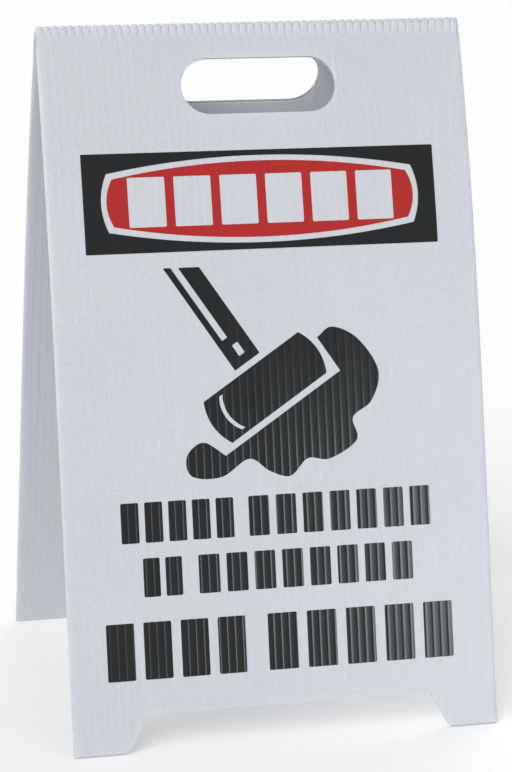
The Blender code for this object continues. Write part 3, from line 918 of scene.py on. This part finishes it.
def ink_material(name, dark, light, roughness):
    """Glossy screen ink: slightly uneven in colour and gloss, with a fine texture."""
    material, tree, shader, where = base_material(name)
    cloud = stretched_noise(tree, where, INK_CLOUD, 4.0)
    tree.links.new(mixed(tree, cloud, dark, light), shader.inputs["Base Color"])
    grain = stretched_noise(tree, where, INK_GRAIN, 3.0)
    patches = stretched_noise(tree, where, INK_PATCHES, 3.0)
    least = roughness - INK_ROUGHNESS_SPREAD / 2.0
    rough = math_node(tree, "MULTIPLY_ADD", patches, INK_ROUGHNESS_SPREAD, least)
    tree.links.new(rough, shader.inputs["Roughness"])
    bumped(tree, shader, grain, INK_BUMP, INK_BUMP_DISTANCE)
    return material


# ---- the stage

def aim(thing, place, target):
    """Put a light at a place and turn it towards a target."""
    thing.location = place
    thing.rotation_mode = "QUATERNION"
    thing.rotation_quaternion = (Vector(target) - Vector(place)).to_track_quat("-Z", "Y")
    bpy.context.scene.collection.objects.link(thing)


def direction(azimuth, elevation):
    """Unit vector from the sign, azimuth 0 being straight in front and positive to +X."""
    azimuth, elevation = math.radians(azimuth), math.radians(elevation)
    return Vector((math.sin(azimuth) * math.cos(elevation),
                   -math.cos(azimuth) * math.cos(elevation), math.sin(elevation)))


def softbox():
    """The rectangular softbox that faces the sign from the right."""
    lamp = bpy.data.lights.new("right_softbox", "AREA")
    lamp.shape = "RECTANGLE"
    lamp.size, lamp.size_y = SOFTBOX_SIZE
    lamp.energy = SOFTBOX_RADIANCE * math.pi * SOFTBOX_SIZE[0] * SOFTBOX_SIZE[1]
    lamp.color = SOFTBOX_TINT
    middle = Vector((0.0, 0.0, cad_box[1].z / 2.0))
    thing = bpy.data.objects.new("right_softbox", lamp)
    thing.visible_camera = False
    aim(thing, middle + direction(*SOFTBOX_DIRECTION) * SOFTBOX_DISTANCE, middle)


def sun(name, bearing, strength):
    """A broad, soft light from far away."""
    lamp = bpy.data.lights.new(name, "SUN")
    lamp.energy = strength
    lamp.angle = math.radians(SUN_ANGLE)
    aim(bpy.data.objects.new(name, lamp), direction(*bearing), (0.0, 0.0, 0.0))


def staged(name, shape, colour, glow):
    """A stage object with a plain material that may glow."""
    mesh = bpy.data.meshes.new(name)
    shape.to_mesh(mesh)
    shape.free()
    thing = bpy.data.objects.new(name, mesh)
    material = bpy.data.materials.new(name + "_paint")
    material.use_nodes = True
    shader = material.node_tree.nodes["Principled BSDF"]
    shader.inputs["Base Color"].default_value = (colour, colour, colour, 1.0)
    shader.inputs["Roughness"].default_value = STAGE_ROUGHNESS
    shader.inputs["Specular IOR Level"].default_value = 0.0
    shader.inputs["Emission Color"].default_value = (1.0, 1.0, 1.0, 1.0)
    shader.inputs["Emission Strength"].default_value = glow
    mesh.materials.append(material)
    bpy.context.scene.collection.objects.link(thing)
    return thing


def studio():
    """Pale floor and backdrop, a key on the left, a fill behind, a softbox on the right."""
    disc = bmesh.new()
    bmesh.ops.create_circle(disc, cap_ends=True, radius=FLOOR_RADIUS, segments=FLOOR_SIDES)
    floor = staged("floor", disc, FLOOR_TONE, FLOOR_GLOW)
    floor.location.z = -FLOOR_GAP
    dome = bmesh.new()
    bmesh.ops.create_uvsphere(dome, u_segments=BACKDROP_SEGMENTS, v_segments=BACKDROP_SEGMENTS // 2,
                              radius=BACKDROP_RADIUS)
    backdrop = staged("backdrop", dome, 0.0, BACKDROP_TONE)
    backdrop.visible_diffuse = False
    backdrop.visible_glossy = False
    backdrop.visible_transmission = False
    backdrop.visible_shadow = False
    sun("key", KEY_DIRECTION, KEY_STRENGTH)
    sun("back_fill", BACK_FILL_DIRECTION, BACK_FILL_STRENGTH)
    softbox()
    world = bpy.data.worlds.new("surround")
    bpy.context.scene.world = world
    world.use_nodes = True
    background = world.node_tree.nodes["Background"]
    background.inputs["Color"].default_value = (1.0, 1.0, 1.0, 1.0)
    background.inputs["Strength"].default_value = SURROUND_STRENGTH
    bpy.context.scene.view_settings.view_transform = "Standard"


def camera():
    """The camera, at the photograph's viewing angle."""
    ahead = Vector((math.sin(CAMERA_YAW) * math.cos(CAMERA_PITCH),
                    math.cos(CAMERA_YAW) * math.cos(CAMERA_PITCH), math.sin(CAMERA_PITCH)))
    level = Vector((math.cos(CAMERA_YAW), -math.sin(CAMERA_YAW), 0.0))
    up = level.cross(ahead)
    right = level * math.cos(CAMERA_ROLL) + up * math.sin(CAMERA_ROLL)
    up = up * math.cos(CAMERA_ROLL) - level * math.sin(CAMERA_ROLL)
    lens = bpy.data.cameras.new("camera")
    lens.lens = CAMERA_LENS
    lens.sensor_width = SENSOR_WIDTH
    thing = bpy.data.objects.new("camera", lens)
    turn = Matrix((right, up, -ahead)).transposed().to_4x4()
    thing.matrix_world = Matrix.Translation(CAMERA_PLACE) @ turn
    bpy.context.scene.collection.objects.link(thing)
    bpy.context.scene.camera = thing


def main():
    """The camera, the studio and every piece of the sign."""
    camera()
    studio()
    white = board_material()
    black = ink_material("black_ink", BLACK_DARK, BLACK_LIGHT, BLACK_ROUGHNESS)
    red = ink_material("red_ink", RED_DARK, RED_LIGHT, RED_ROUGHNESS)
    for side in ("front", "rear"):
        piece = new_piece(side + "_board", board_mesh(side), white, side)
        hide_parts(side + "_leaf")
    crease = new_piece("crease", crease_mesh(), white, None)
    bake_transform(crease)
    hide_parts("crease_hinge")
    print_pieces(black, red)


main()
